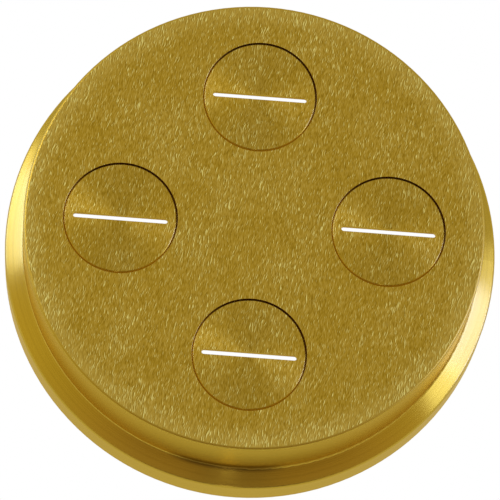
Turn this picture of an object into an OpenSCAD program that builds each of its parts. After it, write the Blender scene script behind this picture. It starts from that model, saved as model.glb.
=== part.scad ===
// Pasta extrusion die: a turned brass disc with a clamping flange, and four slotted
// inserts for flat noodles that are loaded from the feed side.
// The die lies on its feed face, with the extrusion face up. All lengths are in millimetres.

/* [Die body] */
// Diameter of the flange that seats in the extruder's barrel
flange_d = 80; // [79:0.5:90]
// Diameter of the boss that stands out through the ring nut
boss_d = 74; // [70:0.2:75.6]
// Thickness of the whole die, from the feed face to the extrusion face
die_h = 22; // [20:0.5:26]
// Height of the flange where it meets the boss
flange_h = 9.5; // [7:0.1:12]
// Slope of the flange's clamping seat below level, in degrees
seat_slope = 33; // [8:1:40]
// Radius on the flange's upper edge
flange_round = 0.7; // [0.4:0.1:1.4]
// Radius in the corner between the seat and the boss
root_radius = 0.5; // [0.1:0.05:0.8]
// Radius on the edge of the extrusion face
face_round = 0.5; // [0.2:0.05:1.5]
// Chamfer on the lower edge of the flange
back_chamfer = 1; // [0.2:0.1:2]

/* [Inserts] */
// Diameter of the circle that the inserts stand on
insert_circle_d = 43; // [38:0.1:46]
// Diameter of an insert at the extrusion face
nose_d = 18.3; // [17.6:0.1:20]
// Diameter of the collar that an insert seats on
collar_d = 22.6; // [21.4:0.1:25]
// Height of the collar
collar_h = 8; // [6:0.5:9.5]
// Depth of an insert's back end below the feed face
back_recess = 8; // [4:0.5:10]
// Gap all round between an insert and its seat
seat_gap = 0.02; // [0.01:0.01:0.06]
// Chamfer on an insert's own edges
edge_break = 0.3; // [0.05:0.05:0.5]
// Chamfer on the rims of an insert's seat
seat_chamfer = 0.06; // [0.02:0.01:0.3]

/* [Dough path] */
// Length of a slot, which sets the width of the noodle
slot_l = 15.2; // [8:0.1:15.5]
// Width of a slot, which sets the thickness of the noodle
slot_w = 0.85; // [0.5:0.05:2]
// Depth of the slot's straight land below the extrusion face
slot_land = 1; // [0.4:0.1:2]
// Turn of the slots from the line between two inserts, in degrees
slot_turn = -1.4; // [-45:0.1:45]
// Thickness of the web that carries the slot
web_h = 3; // [2.4:0.1:5]
// Width of the flared trough where it leaves the feed bore
trough_w = 4; // [2.2:0.1:4.6]
// How far the trough runs past each end of the slot
trough_past = 0.2; // [0.1:0.05:0.25]
// Diameter of the feed bore behind the web
feed_d = 16.4; // [16.2:0.1:17.2]
// Diameter of the feed bore's mouth
mouth_d = 20; // [17.4:0.1:21]

/* [Hidden] */
$fn = 128;

// How far a cut runs past the face that it opens
cut_past = 1;
// How far an arc stands past the edges it joins, so that it crosses them and doesn't just touch
arc_lap = 0.002;
brass = [0.71, 0.58, 0.22];
insert_brass = [0.73, 0.6, 0.25];

flange_r = flange_d / 2;
boss_r = boss_d / 2;
nose_r = nose_d / 2;
collar_r = collar_d / 2;
// Height of the edge where the sloping seat would meet the flange's wall
rim_h = flange_h - (flange_r - boss_r) * tan(seat_slope);
// Height of the ledge that the collar bears on
ledge_h = back_recess + collar_h;
// Height of the web's feed side
web_z = die_h - web_h;

// Unit vectors along the profile's edges
up = [0, 1];
down = [0, -1];
inward = [-1, 0];
seat_out = [cos(seat_slope), -sin(seat_slope)];

// Distance from a corner to where an arc of radius r leaves its edges
function arc_reach(edge_a, edge_b, r) = r / tan(acos(edge_a * edge_b) / 2);

// Area that rounds an outer corner off when it is taken away: what lies between the corner
// and the arc of radius r that joins its edges
module corner_arc(corner, edge_a, edge_b, r) {
    half = acos(edge_a * edge_b) / 2;
    bisector = (edge_a + edge_b) / norm(edge_a + edge_b);
    reach = arc_reach(edge_a, edge_b, r);
    difference() {
        polygon([corner - bisector * r, corner + edge_a * reach, corner + edge_b * reach]);
        translate(corner + bisector * r / sin(half)) circle(r + arc_lap);
    }
}

// Half section of the body, with no seats in it
module body_profile() {
    root = [boss_r, flange_h];
    root_reach = arc_reach(up, seat_out, root_radius);
    difference() {
        polygon([
            [0, 0], [flange_r - back_chamfer, 0], [flange_r, back_chamfer], [flange_r, rim_h],
            root + seat_out * root_reach, root + up * root_reach, [boss_r, die_h], [0, die_h]
        ]);
        translate(root + [root_radius, root_reach]) circle(root_radius + arc_lap);
        corner_arc([flange_r, rim_h], down, -seat_out, flange_round);
        corner_arc([boss_r, die_h], down, inward, face_round);
    }
}

// Places something at an insert's axis, by its angle round the die
module at_insert(angle) {
    translate([insert_circle_d / 2 * cos(angle), insert_circle_d / 2 * sin(angle), 0])
        children();
}

// Stepped bore that takes an insert from the feed side, with its rims chamfered. Below the insert
// it is an open pocket for the dough
module insert_seat() {
    seat_nose_r = nose_r + seat_gap;
    seat_collar_r = collar_r + seat_gap;
    rotate_extrude()
        polygon([
            [0, -cut_past],
            [seat_collar_r + seat_chamfer + cut_past, -cut_past],
            [seat_collar_r, seat_chamfer],
            [seat_collar_r, ledge_h],
            [seat_nose_r, ledge_h],
            [seat_nose_r, die_h - seat_chamfer],
            [seat_nose_r + seat_chamfer + cut_past, die_h + cut_past],
            [0, die_h + cut_past]
        ]);
}

module die_body() {
    color(brass)
        difference() {
            rotate_extrude() body_profile();
            for (angle = [0, 90, 180, 270]) at_insert(angle) insert_seat();
        }
}

// Turned outside of an insert: the collar below, the nose above
module insert_blank() {
    rotate_extrude()
        polygon([
            [0, back_recess],
            [collar_r - edge_break, back_recess],
            [collar_r, back_recess + edge_break],
            [collar_r, ledge_h],
            [nose_r, ledge_h],
            [nose_r, die_h - edge_break],
            [nose_r - edge_break, die_h],
            [0, die_h]
        ]);
}

// Feed bore that leads the dough to the web: a cone through the collar, then a straight bore
module feed_bore() {
    feed_r = feed_d / 2;
    mouth_r = mouth_d / 2;
    rotate_extrude()
        polygon([
            [0, back_recess - cut_past],
            [mouth_r, back_recess - cut_past],
            [mouth_r, back_recess],
            [feed_r, ledge_h],
            [feed_r, web_z],
            [0, web_z]
        ]);
}

// Trough that narrows from the feed bore to the slot's land
module slot_trough() {
    trough_l = slot_l + 2 * trough_past;
    rotate([90, 0, 90])
        linear_extrude(trough_l, center = true)
            polygon([
                [-trough_w / 2, web_z - cut_past], [trough_w / 2, web_z - cut_past],
                [trough_w / 2, web_z], [slot_w / 2, die_h - slot_land],
                [-slot_w / 2, die_h - slot_land], [-trough_w / 2, web_z]
            ]);
}

// Round-ended slot right through the web
module slot() {
    translate([0, 0, web_z - cut_past])
        linear_extrude(web_h + 2 * cut_past) {
            square([slot_l - slot_w, slot_w], center = true);
            for (side = [-1, 1]) translate([side * (slot_l - slot_w) / 2, 0]) circle(d = slot_w);
        }
}

module slot_insert(angle) {
    color(insert_brass)
        at_insert(angle) rotate(slot_turn)
            difference() {
                insert_blank();
                feed_bore();
                slot_trough();
                slot();
            }
}

die_body();
slot_insert(0);  // insert_right
slot_insert(90);  // insert_back
slot_insert(180);  // insert_left
slot_insert(270);  // insert_front
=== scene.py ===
"""Looks of the pasta extrusion die: rubbed and turned brass on a white light table."""

import math

import bpy
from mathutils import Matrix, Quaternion, Vector


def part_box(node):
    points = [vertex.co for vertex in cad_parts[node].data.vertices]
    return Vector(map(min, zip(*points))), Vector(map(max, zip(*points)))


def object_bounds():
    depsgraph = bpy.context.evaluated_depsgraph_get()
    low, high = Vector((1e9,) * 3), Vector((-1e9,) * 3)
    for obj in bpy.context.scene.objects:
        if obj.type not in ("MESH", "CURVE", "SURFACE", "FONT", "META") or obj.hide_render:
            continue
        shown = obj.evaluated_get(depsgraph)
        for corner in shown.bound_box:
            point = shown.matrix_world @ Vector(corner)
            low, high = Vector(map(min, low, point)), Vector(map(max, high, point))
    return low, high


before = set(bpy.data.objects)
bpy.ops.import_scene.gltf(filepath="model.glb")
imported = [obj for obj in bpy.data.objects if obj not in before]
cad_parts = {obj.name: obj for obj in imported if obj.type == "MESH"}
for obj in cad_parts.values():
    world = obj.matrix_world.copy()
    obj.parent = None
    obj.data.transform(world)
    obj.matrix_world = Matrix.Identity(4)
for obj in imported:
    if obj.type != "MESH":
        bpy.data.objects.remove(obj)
cad_low, cad_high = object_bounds()

MM = 0.001
WHITE = (1.0, 1.0, 1.0)
INSERTS = ("insert_right", "insert_back", "insert_left", "insert_front")

# Lengths on the die are in millimetres. Directions are in degrees, with 0 at -Y and 90 at +X.
# A ramp is four values: where it starts and ends, and what it gives there.

# Depth below the top down to which a surface is the extrusion face, and then its rounded edge
FACE_DEPTH = 0.01
EDGE_DEPTH = 0.6
# Upward share of a surface's normal below which it is a wall
WALL_NORMAL = 0.9

# Radius and height of the corner between the boss and the flange's seat
CORNER_R = 37.1
CORNER_H = 9.6
# Radius where the seat starts to hollow towards that corner, and how far it has risen there
HOLLOW_R = 39.6
HOLLOW_H = 0.15
# Fall of an insert's turned face over the square of the distance from its axis
CROWN = 0.003
# Fineness and depth of the rings that the lathe leaves, and the share of the deeper colour in them
RINGS_PER_MM = 6.0
RING_DEPTH = 0.002
RING_SHARE = (0.3, 0.7, 0.0, 1.0)

# Painted shade in the front of the corner: its direction, its reach on the seat and up the wall, its share by
# the distance from the corner in those reaches, and by the cosine of the angle from its direction
CORNER_SHADE_AZIMUTH = -3.89
CORNER_SHADE_W = 0.7
CORNER_SHADE_H = 2.6
CORNER_SHADE_SHARE = (1.0, 0.15, 0.0, 0.85)
CORNER_SHADE_SPREAD = (0.96, 0.992, 0.0, 1.0)
# Painted shade in an insert's seat: the direction that its side faces, and its share by the cosine from it
SEAT_SHADE_AZIMUTH = -30.0
SEAT_SHADE_SPREAD = (-0.35, 0.6, 0.0, 1.0)

# Strokes on the face: their direction clockwise from +Y seen from above, and how much they sway
STROKE_TURN = 9.0
SWAY = 0.7
SWAYS_PER_MM = 0.35
# Width and length of the fine strokes, of the flecks, which are painted glints, and of the patches
STROKE_W, STROKE_L = 0.075, 0.68
FLECK_W, FLECK_L = 0.088, 0.90
PATCH_W, PATCH_L = 5.0, 6.0
# Seeds that make these patterns differ
SWAY_SEED = 3.0
STROKE_SEED = 1.5
FLECK_SEED = 7.5
PATCH_SEED = 11.5
# Distance from a fleck to the painted shade line beside it, and the strength of that line
FLECK_SHADE_OFF = 0.13
FLECK_SHADE = 0.8
# Level of the noise where a fleck starts, how far above it the fleck is full, and what lowers it
FLECK_LEVEL = 0.685
FLECK_FADE = 0.14
PATCH_CROWD = (0.42, 0.68, 0.0, 0.05)
RIM_CROWD = 0.075
# Share of the pale and the deep brass by the noise of the fine strokes and of the patches. On the fine
# strokes the pale brass is a painted highlight
STROKE_PALE = (0.5, 0.85, 0.0, 0.38)
STROKE_DEEP = (0.5, 0.25, 0.0, 0.85)
PATCH_PALE = (0.35, 0.7, 0.0, 0.07)
# Radii between which the face turns to its rim, which is paler and has more painted glints, and the share of
# pale brass there
RIM = (32.5, 36.5, 0.0, 1.0)
RIM_PALE = 0.18

# Brass as the photograph shows it, as linear colours
FACE_BASE = (0.50, 0.31, 0.023)
# Pale brass: a painted highlight on the fine strokes, and the tone of the paler patches and rim
FACE_PALE = (0.90, 0.68, 0.17)
# Painted glints of the flecks
FLECK = (1.0, 0.86, 0.26)
# Deep brass of the darker strokes, and of the painted shade beside the flecks
FACE_DEEP = (0.33, 0.19, 0.008)
TURNED_BASE = (0.69, 0.48, 0.065)
TURNED_DEEP = (0.59, 0.40, 0.048)
EDGE_TINT = (1.0, 0.86, 0.46, 1.0)
# Painted shade in the front of the corner between the boss and the seat
CORNER_SHADE_COLOUR = (0.20, 0.11, 0.015)
# Painted shade on one side of the inserts' seats
SEAT_SHADE_COLOUR = (0.12, 0.035, 0.004)
# Roughness, and the anisotropy that turning leaves
FACE_ROUGHNESS = 0.38
TURNED_ROUGHNESS = 0.26
DULL_ROUGHNESS = 0.4
TURNED_GRAIN = 0.8
INSERT_GRAIN = 0.72
NO_GRAIN = 0.0

# Light table, in metres: half its side and its drop below the die. Then its glow as the brass sees it
TABLE_HALF = 1.5
TABLE_DROP = 0.00005
TABLE_GLOW = 0.70

# Direction of the room's dim side. Its levels and tints go by the cosine of the angle from that
# direction, or by height, which is 1 straight up
DIM_AZIMUTH = 0.11
DIM_ELEVATION = 34.0
DIM_TO_OPEN = (0.97, 0.4, 0.38, 0.65)
DIM_MIDDLE = (1.0, 0.965, 0.56, 1.0)
LOW_ALL_ROUND = (0.1, 0.6, 0.8, 1.0)
LOW_IN_FRONT = (0.15, 0.55, 0.25, 1.0)
FRONT_TO_SIDE = (0.92, 0.74, 0.0, 1.0)
FRONT_TINT = (1.0, 0.67, 0.28)
SIDE_TINT = (1.0, 0.85, 0.27)
BACK_TINT = (0.92, 0.88, 0.7)
TO_SIDE_TINT = (0.95, 0.5, 0.0, 1.0)
TO_BACK_TINT = (0.3, -0.3, 0.0, 1.0)
TO_WHITE_ABOVE = (0.6, 0.9, 0.0, 1.0)
# Distance of the boxes of light from the die, in metres
LIGHT_DISTANCE = 0.7

# Camera, found from the outlines of the face, the flange and the inserts in the photograph
CAMERA_AZIMUTH = -6.89
CAMERA_ELEVATION = 73.95
CAMERA_ROLL = 9.57
# Distance and range of view in metres, lens and sensor in millimetres
CAMERA_DISTANCE = 0.7383
CAMERA_NEAR, CAMERA_FAR = 0.05, 20.0
CAMERA_LENS = 322.7
CAMERA_SENSOR = 36.0
# Point that it looks at, in metres to the right of and above the die's origin in the picture
AIM_RIGHT, AIM_UP = 0.00028, 0.00201


def toward(azimuth, elevation):
    """Unit vector by azimuth, with 0 at -Y and 90 at +X, and elevation, both in degrees."""
    a = math.radians(azimuth)
    e = math.radians(elevation)
    return Vector((math.sin(a) * math.cos(e), -math.cos(a) * math.cos(e), math.sin(e)))


class Shader:
    """Builds a node tree from short calls. A value given to a call is a number or another call's result."""

    def __init__(self, tree):
        self.tree = tree
        self.tree.nodes.clear()

    def put(self, socket, value):
        if isinstance(value, bpy.types.NodeSocket):
            self.tree.links.new(value, socket)
        else:
            socket.default_value = value

    def put_all(self, sockets, values):
        for socket, value in zip(sockets, values):
            self.put(socket, value)

    def node(self, kind, **settings):
        made = self.tree.nodes.new(kind)
        for name, value in settings.items():
            setattr(made, name, value)
        return made

    def math(self, operation, *values):
        made = self.node("ShaderNodeMath", operation=operation)
        self.put_all(made.inputs, values)
        return made.outputs[0]

    def plus(self, a, b):
        return self.math("ADD", a, b)

    def minus(self, a, b):
        return self.math("SUBTRACT", a, b)

    def times(self, a, b):
        return self.math("MULTIPLY", a, b)

    def over(self, a, b):
        return self.math("DIVIDE", a, b)

    def vector(self, operation, *values):
        made = self.node("ShaderNodeVectorMath", operation=operation)
        self.put_all(made.inputs, values)
        return made.outputs["Value" if operation in ("LENGTH", "DOT_PRODUCT") else "Vector"]

    def scaled(self, value, scale):
        made = self.node("ShaderNodeVectorMath", operation="SCALE")
        self.put(made.inputs[0], value)
        self.put(made.inputs["Scale"], scale)
        return made.outputs["Vector"]

    def split(self, value):
        made = self.node("ShaderNodeSeparateXYZ")
        self.put(made.inputs[0], value)
        return made.outputs

    def join(self, x, y, z):
        made = self.node("ShaderNodeCombineXYZ")
        self.put_all(made.inputs, (x, y, z))
        return made.outputs[0]

    def ramp(self, value, low, high, to_low, to_high, kind="SMOOTHSTEP"):
        made = self.node("ShaderNodeMapRange", interpolation_type=kind)
        self.put_all(made.inputs, (value, low, high, to_low, to_high))
        return made.outputs[0]

    def mix(self, share, a, b):
        made = self.node("ShaderNodeMix", data_type="RGBA")
        self.put(made.inputs[0], share)
        colours = [socket for socket in made.inputs if socket.type == "RGBA"]
        for socket, value in zip(colours, (a, b)):
            self.put(socket, (*value, 1.0) if isinstance(value, tuple) else value)
        return next(socket for socket in made.outputs if socket.type == "RGBA")

    def noise(self, where, detail=0.0, roughness=0.5):
        made = self.node("ShaderNodeTexNoise", noise_dimensions="3D")
        self.put(made.inputs["Vector"], where)
        self.put(made.inputs["Scale"], 1.0)
        self.put(made.inputs["Detail"], detail)
        self.put(made.inputs["Roughness"], roughness)
        return made.outputs["Fac"]

    def relief(self, bsdf, height):
        """Tilts the shading of a surface by a height in millimetres."""
        bump = self.node("ShaderNodeBump")
        bump.inputs["Strength"].default_value = 1.0
        bump.inputs["Distance"].default_value = MM
        self.put(bump.inputs["Height"], height)
        self.put(bsdf.inputs["Normal"], bump.outputs[0])


def rubbed(s, x, y, rim_share):
    """Colour of brass rubbed with short strokes, with painted highlights on the strokes and flecks and a
    painted shade line beside each fleck. rim_share is 1 at the rim, where the face is paler and has more
    flecks.
    """
    turn = math.radians(STROKE_TURN)
    across = s.minus(s.times(x, math.cos(turn)), s.times(y, math.sin(turn)))
    along = s.plus(s.times(x, math.sin(turn)), s.times(y, math.cos(turn)))
    sway = s.noise(s.join(s.times(x, SWAYS_PER_MM), s.times(y, SWAYS_PER_MM), SWAY_SEED), detail=1.0)
    across = s.plus(across, s.times(sway, SWAY))

    def marks(width, length, seed, shift=0.0, detail=0.0):
        side = s.over(s.plus(across, shift), width)
        return s.noise(s.join(side, s.over(along, length), seed), detail)

    fine = marks(STROKE_W, STROKE_L, STROKE_SEED)
    flecks = marks(FLECK_W, FLECK_L, FLECK_SEED)
    beside = marks(FLECK_W, FLECK_L, FLECK_SEED, shift=FLECK_SHADE_OFF)
    patches = marks(PATCH_W, PATCH_L, PATCH_SEED, detail=2.0)

    crowd = s.plus(s.ramp(patches, *PATCH_CROWD), s.times(rim_share, RIM_CROWD))
    start = s.minus(FLECK_LEVEL, crowd)
    full = s.plus(start, FLECK_FADE)
    colour = s.mix(s.ramp(patches, *PATCH_PALE), FACE_BASE, FACE_PALE)
    colour = s.mix(s.ramp(fine, *STROKE_DEEP), colour, FACE_DEEP)
    colour = s.mix(s.times(rim_share, RIM_PALE), colour, FACE_PALE)
    # Painted highlight along the fine strokes
    colour = s.mix(s.ramp(fine, *STROKE_PALE), colour, FACE_PALE)
    # Painted shade beside each fleck, then the painted glints of the flecks
    colour = s.mix(s.ramp(beside, start, full, 0.0, FLECK_SHADE), colour, FACE_DEEP)
    return s.mix(s.ramp(flecks, start, full, 0.0, 1.0), colour, FLECK)


def metal(name, roughness, grain):
    """Metal material, with the builder of its nodes and its shader."""
    material = bpy.data.materials.new(name)
    material.use_nodes = True
    s = Shader(material.node_tree)
    bsdf = s.node("ShaderNodeBsdfPrincipled")
    bsdf.inputs["Metallic"].default_value = 1.0
    bsdf.inputs["Roughness"].default_value = roughness
    bsdf.inputs["Anisotropic"].default_value = grain
    bsdf.inputs["Specular Tint"].default_value = EDGE_TINT
    s.put(s.node("ShaderNodeOutputMaterial").inputs["Surface"], bsdf.outputs[0])
    return material, s, bsdf


def about_axis(s, centre):
    """Place in millimetres, distance from the axis at centre, and the direction across the turning marks."""
    spot = s.scaled(s.node("ShaderNodeTexCoord").outputs["Object"], 1 / MM)
    normal = s.node("ShaderNodeNewGeometry").outputs["Normal"]
    from_axis = s.vector("MULTIPLY", s.vector("SUBTRACT", spot, (*centre, 0.0)), (1.0, 1.0, 0.0))
    round_way = s.vector("NORMALIZE", s.vector("CROSS_PRODUCT", (0.0, 0.0, 1.0), from_axis))
    across = s.vector("NORMALIZE", s.vector("CROSS_PRODUCT", normal, round_way))
    return spot, s.vector("LENGTH", from_axis), across


def face_brass(name, centre, grain):
    """Rubbed brass of the extrusion face. With grain, the turning and a slight crown show through."""
    material, s, bsdf = metal(name, FACE_ROUGHNESS, grain)
    spot, radius, across = about_axis(s, centre)
    x, y = s.split(spot)[:2]
    s.put(bsdf.inputs["Base Color"], rubbed(s, x, y, s.ramp(radius, *RIM)))
    s.put(bsdf.inputs["Tangent"], across)
    if grain:
        s.relief(bsdf, s.times(s.times(radius, radius), -CROWN))
    return material


def turned_brass(name, centre):
    """Brass with the fine rings that the lathe leaves, and with painted shade in the front of the corner."""
    material, s, bsdf = metal(name, TURNED_ROUGHNESS, TURNED_GRAIN)
    spot, radius, across = about_axis(s, centre)
    x, y, z = s.split(spot)
    ring_place = s.join(s.times(radius, RINGS_PER_MM), 0.0, s.times(z, RINGS_PER_MM))
    rings = s.noise(ring_place, detail=3.0, roughness=0.7)
    colour = s.mix(s.ramp(rings, *RING_SHARE), TURNED_BASE, TURNED_DEEP)
    # Painted shade: the corner between the boss and the seat is darker towards its front
    front = s.vector("DOT_PRODUCT", s.join(x, y, 0.0), tuple(toward(CORNER_SHADE_AZIMUTH, 0.0)))
    front = s.over(front, radius)
    off_wall = s.over(s.minus(radius, CORNER_R), CORNER_SHADE_W)
    off_seat = s.over(s.minus(z, CORNER_H), CORNER_SHADE_H)
    corner_shade = s.ramp(s.vector("LENGTH", s.join(off_wall, off_seat, 0.0)), *CORNER_SHADE_SHARE)
    corner_shade = s.times(corner_shade, s.ramp(front, *CORNER_SHADE_SPREAD))
    s.put(bsdf.inputs["Base Color"], s.mix(corner_shade, colour, CORNER_SHADE_COLOUR))
    s.put(bsdf.inputs["Tangent"], across)
    hollow = s.math("POWER", s.ramp(radius, HOLLOW_R, CORNER_R, 0.0, 1.0, kind="LINEAR"), 2.0)
    s.relief(bsdf, s.plus(s.times(rings, RING_DEPTH), s.times(hollow, HOLLOW_H)))
    return material


def seat_shade_brass(name):
    """Brass of the inserts' seats, with painted shade on one side."""
    material, s, bsdf = metal(name, DULL_ROUGHNESS, NO_GRAIN)
    normal = s.node("ShaderNodeNewGeometry").outputs["Normal"]
    facing = s.vector("DOT_PRODUCT", normal, tuple(toward(SEAT_SHADE_AZIMUTH, 0.0)))
    # Painted shade: the walls of a seat that face one side are darker
    s.put(bsdf.inputs["Base Color"], s.mix(s.ramp(facing, *SEAT_SHADE_SPREAD), TURNED_BASE, SEAT_SHADE_COLOUR))
    return material


def rubbed_edge(name):
    """Brass of the rounded edge of the extrusion face, dulled by handling."""
    material, s, bsdf = metal(name, DULL_ROUGHNESS, NO_GRAIN)
    bsdf.inputs["Base Color"].default_value = (*TURNED_DEEP, 1.0)
    return material


def give(piece, material, chosen):
    """Gives a material to the faces of a piece that a test picks."""
    piece.data.materials.append(material)
    for polygon in piece.data.polygons:
        if chosen(polygon):
            polygon.material_index = len(piece.data.materials) - 1


def everywhere(polygon):
    """Test that picks every face."""
    return True


def on_face(polygon):
    """Test for what lies in the extrusion face."""
    return polygon.center.z > cad_high.z - FACE_DEPTH * MM


def on_edge(polygon):
    """Test for the rounded edge just below the extrusion face."""
    return -EDGE_DEPTH * MM < polygon.center.z - cad_high.z < -FACE_DEPTH * MM


def seat_test():
    """Test for the faces of the body that are walls round an insert's nose."""
    boxes = [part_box(name) for name in INSERTS]
    seats = [((low + high) / 2, (high.x - low.x) / 2) for low, high in boxes]

    def in_seat(polygon):
        offs = [(polygon.center - middle, reach) for middle, reach in seats]
        near = any(off.z > 0 and math.hypot(off.x, off.y) < reach for off, reach in offs)
        return near and polygon.normal.z < WALL_NORMAL

    return in_seat


def dress():
    """Gives each solid turned brass and a rubbed face, and the body its dulled edge and its seats with
    painted shade too.
    """
    slots = {"die_body": ("body_brass", NO_GRAIN)}
    for name in INSERTS:
        slots[name] = ("insert_brass", INSERT_GRAIN)
    for name, (slot_name, grain) in slots.items():
        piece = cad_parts[name]
        low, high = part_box(name)
        centre = ((low.x + high.x) / 2 / MM, (low.y + high.y) / 2 / MM)
        piece.data.materials.clear()
        give(piece, turned_brass(name + "_turned", centre), everywhere)
        give(piece, face_brass(name + "_face", centre, grain), on_face)
        if name == "die_body":
            give(piece, rubbed_edge("die_body_edge"), on_edge)
            give(piece, seat_shade_brass("die_body_seats"), seat_test())


def light_table():
    """White table that glows, so that the slots show white against the brass. It is clear from below."""
    mesh = bpy.data.meshes.new("floor")
    signs = ((-1, -1), (1, -1), (1, 1), (-1, 1))
    corners = [(side * TABLE_HALF, end * TABLE_HALF, 0.0) for side, end in signs]
    mesh.from_pydata(corners, [], [(0, 1, 2, 3)])
    floor = bpy.data.objects.new("floor", mesh)
    floor.location.z = -TABLE_DROP
    bpy.context.scene.collection.objects.link(floor)
    material = bpy.data.materials.new("light_table")
    material.use_nodes = True
    s = Shader(material.node_tree)
    seen = s.node("ShaderNodeLightPath").outputs["Is Camera Ray"]
    glow = s.node("ShaderNodeEmission")
    s.put(glow.inputs["Strength"], s.ramp(seen, 0.0, 1.0, TABLE_GLOW, 1.0))
    under = s.node("ShaderNodeMixShader")
    s.put(under.inputs[0], s.node("ShaderNodeNewGeometry").outputs["Backfacing"])
    s.put(under.inputs[1], glow.outputs[0])
    s.put(under.inputs[2], s.node("ShaderNodeBsdfTransparent").outputs[0])
    s.put(s.node("ShaderNodeOutputMaterial").inputs["Surface"], under.outputs[0])
    mesh.materials.append(material)


def room():
    """Soft light from all round, dim and warm in front and darker low down there. The backdrop is white."""
    world = bpy.data.worlds.new("studio")
    bpy.context.scene.world = world
    world.use_nodes = True
    s = Shader(world.node_tree)
    way = s.node("ShaderNodeTexCoord").outputs["Generated"]
    ahead = s.vector("DOT_PRODUCT", way, tuple(toward(DIM_AZIMUTH, DIM_ELEVATION)))
    height = s.split(way)[2]
    level = s.ramp(ahead, *DIM_TO_OPEN, kind="LINEAR")
    level = s.times(level, s.ramp(ahead, *DIM_MIDDLE))
    level = s.times(level, s.ramp(height, *LOW_ALL_ROUND))
    low_front = s.math("MAXIMUM", s.ramp(height, *LOW_IN_FRONT), s.ramp(ahead, *FRONT_TO_SIDE))
    level = s.times(level, low_front)
    tint = s.mix(s.ramp(ahead, *TO_SIDE_TINT), FRONT_TINT, SIDE_TINT)
    tint = s.mix(s.ramp(ahead, *TO_BACK_TINT), tint, BACK_TINT)
    tint = s.mix(s.ramp(height, *TO_WHITE_ABOVE), tint, WHITE)
    seen = s.node("ShaderNodeLightPath").outputs["Is Camera Ray"]
    sky = s.node("ShaderNodeBackground")
    s.put(sky.inputs["Color"], s.mix(seen, tint, WHITE))
    s.put(sky.inputs["Strength"], s.math("MAXIMUM", level, seen))
    s.put(s.node("ShaderNodeOutputWorld").inputs["Surface"], sky.outputs[0])


def softbox(name, place, size, radiance, colour=WHITE):
    """Area light that faces the die, by its azimuth and elevation, and its width and height in metres."""
    width, height = size
    light = bpy.data.lights.new(name, "AREA")
    light.shape = "RECTANGLE"
    light.size = width
    light.size_y = height
    light.energy = radiance * width * height * math.pi
    light.color = colour
    holder = bpy.data.objects.new(name, light)
    way = toward(*place)
    holder.location = way * LIGHT_DISTANCE
    holder.rotation_mode = "QUATERNION"
    holder.rotation_quaternion = way.to_track_quat("Z", "Y")
    bpy.context.scene.collection.objects.link(holder)


def boxes_of_light():
    """Boxes that the brass mirrors. Brass takes the blue out, so those that show white in it are blue."""
    softbox("box_right", (87, 21), (0.25, 0.20), radiance=8.0, colour=(0.22, 0.28, 1.0))
    softbox("box_front_right", (71, 22), (0.14, 0.24), radiance=3.7, colour=(0.46, 0.56, 1.0))
    softbox("box_back_right", (103, 18), (0.14, 0.20), radiance=2.6, colour=(0.42, 0.5, 1.0))
    softbox("low_front_left", (-80, 3), (0.28, 0.08), radiance=0.5)
    softbox("box_left", (-113, 18), (0.38, 0.20), radiance=3.1, colour=(0.46, 0.53, 0.95))
    softbox("low_right", (86, 5), (0.32, 0.14), radiance=22.0, colour=(0.08, 0.12, 1.0))
    softbox("low_left", (-110, 4), (0.31, 0.14), radiance=18.0, colour=(0.10, 0.17, 1.0))
    softbox("box_fan", (-124, 42), (0.22, 0.22), radiance=4.3)
    softbox("strip", (-2.5, 13), (0.022, 0.26), radiance=2.2)


def rolled(back):
    """Turn of a camera that looks against the direction back, with the photograph's roll."""
    return (-back).to_track_quat("-Z", "Y") @ Quaternion((0, 0, 1), math.radians(CAMERA_ROLL))


def camera():
    """Camera at the photograph's viewing angle."""
    data = bpy.data.cameras.new("camera")
    data.sensor_width = CAMERA_SENSOR
    data.lens = CAMERA_LENS
    data.clip_start = CAMERA_NEAR
    data.clip_end = CAMERA_FAR
    holder = bpy.data.objects.new("camera", data)
    bpy.context.scene.collection.objects.link(holder)
    back = toward(CAMERA_AZIMUTH, CAMERA_ELEVATION)
    place = back * CAMERA_DISTANCE
    aim = rolled(back) @ Vector((AIM_RIGHT, AIM_UP, 0.0))
    holder.location = place
    holder.rotation_mode = "QUATERNION"
    holder.rotation_quaternion = rolled((place - aim).normalized())
    bpy.context.scene.camera = holder


dress()
light_table()
room()
boxes_of_light()
camera()
bpy.context.scene.view_settings.view_transform = "Standard"
bpy.context.view_layer.update()
